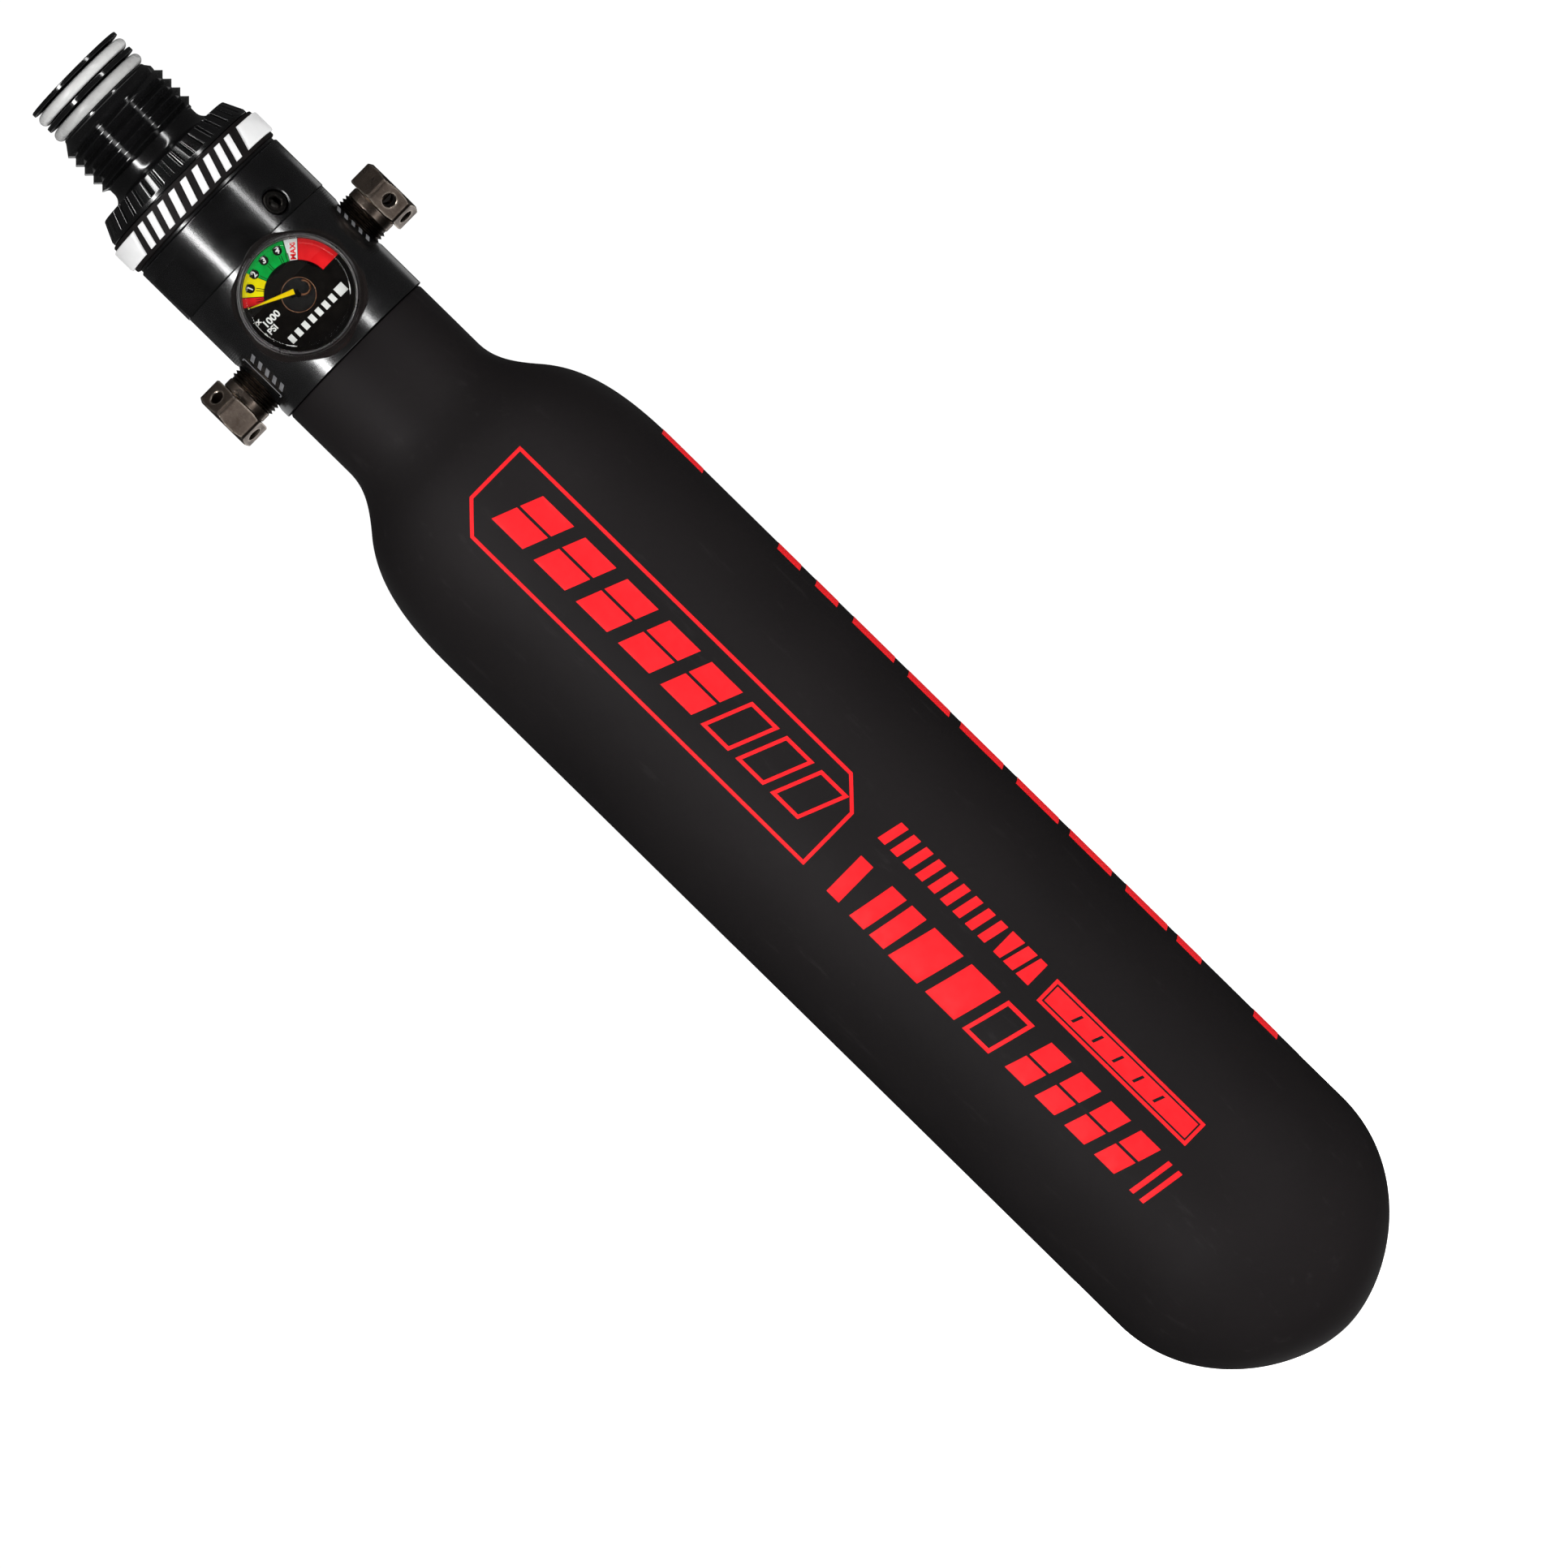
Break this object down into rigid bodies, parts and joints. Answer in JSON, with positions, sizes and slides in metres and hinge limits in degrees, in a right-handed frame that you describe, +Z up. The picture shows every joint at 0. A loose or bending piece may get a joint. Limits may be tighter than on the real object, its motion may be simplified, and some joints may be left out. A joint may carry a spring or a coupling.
{
  "type": "compressed air cylinder with regulator",
  "caption": "Slim matte-black high-pressure air bottle with a screwed-in regulator: gauge, burst-disc plugs, fill nipple, elastic band and a threaded pin-valve outlet.",
  "frame": {"origin": "lowest point of the bottle's dome, on the cylinder's axis", "axes": "+Z up the cylinder's axis to the outlet thread, -Y out of the pressure gauge's face, +X out of the low-pressure burst plug"},
  "size_m": [0.0508, 0.0548, 0.2846],
  "materials": {
    "bottle_coating": "matte near-black coating on aluminium",
    "black_anodising": "glossy black anodised aluminium with fine turning marks",
    "band_rubber": "matte black elastomer with raised white pads",
    "ring_polyurethane": "translucent light grey polyurethane",
    "black_rubber": "black nitrile rubber",
    "black_steel": "black oxide steel",
    "gunmetal_nickel": "gunmetal nickel plating on brass, tumbled and scratched",
    "machined_brass": "bare machined brass",
    "copper": "bare copper alloy",
    "spring_steel": "spring steel",
    "stainless_steel": "machined stainless steel",
    "seat_polymer": "hard white polymer",
    "gauge_black": "black plated brass",
    "dial_print": "printed dial, black with coloured bands",
    "needle_paint": "yellow painted needle",
    "clear_lens": "clear polycarbonate"
  },
  "bodies": {
    "tank": {"bottle": "bottle_coating", "neck_o_ring": "black_rubber", "regulator_body": "black_anodising", "bonnet": "black_anodising", "bonnet_set_screw": "black_steel", "grip_band": "band_rubber", "outlet_o_ring_rear": "ring_polyurethane", "outlet_o_ring_front": "ring_polyurethane", "spring_shim": "spring_steel", "spring_washer_1": "spring_steel", "spring_washer_2": "spring_steel", "spring_washer_3": "spring_steel", "spring_washer_4": "spring_steel", "spring_washer_5": "spring_steel", "valve_pin_spring": "spring_steel", "valve_pin_retainer": "gunmetal_nickel", "low_pressure_burst_plug": "gunmetal_nickel", "low_pressure_burst_disc": "copper", "low_pressure_burst_gasket": "copper", "high_pressure_burst_plug": "gunmetal_nickel", "high_pressure_burst_disc": "copper", "high_pressure_burst_gasket": "copper", "gauge_case": "gauge_black", "gauge_bezel": "gauge_black", "gauge_dial": "dial_print", "gauge_bourdon_coil": "copper", "gauge_lens": "clear_lens", "fill_nipple": "stainless_steel", "fill_check_spring": "spring_steel", "fill_spring_stop": "machined_brass"},
    "valve_pin": {"valve_pin": "machined_brass", "valve_pin_seal": "black_rubber"},
    "piston": {"piston": "machined_brass", "piston_seat": "seat_polymer", "piston_stem_o_ring": "black_rubber", "piston_head_o_ring": "black_rubber"},
    "fill_poppet": {"fill_check_poppet": "machined_brass"},
    "pointer": {"gauge_needle": "needle_paint"}
  },
  "joints": [
    {"name": "valve_pin_press", "type": "slide", "parent": "tank", "child": "valve_pin", "axis": [0, 0, -1], "range_m": [0, 0.0018], "stiffness_N_per_m": 150, "springref_m": -0.002, "deforming": ["valve_pin_spring"]},
    {"name": "piston_close", "type": "slide", "parent": "tank", "child": "piston", "axis": [0, 0, -1], "range_m": [0, 0.0005], "stiffness_N_per_m": 2000, "springref_m": -0.001, "deforming": ["spring_washer_1", "spring_washer_2", "spring_washer_3", "spring_washer_4", "spring_washer_5"]},
    {"name": "fill_poppet_open", "type": "slide", "parent": "tank", "child": "fill_poppet", "axis": [0, -1, 0], "range_m": [0, 0.0012], "stiffness_N_per_m": 100, "springref_m": -0.001, "deforming": ["fill_check_spring"]},
    {"name": "pointer_turn", "type": "hinge", "parent": "tank", "child": "pointer", "pos_m": [0, -0.025, 0.2334], "axis": [0, 1, 0], "range_deg": [0, 150]}
  ]
}
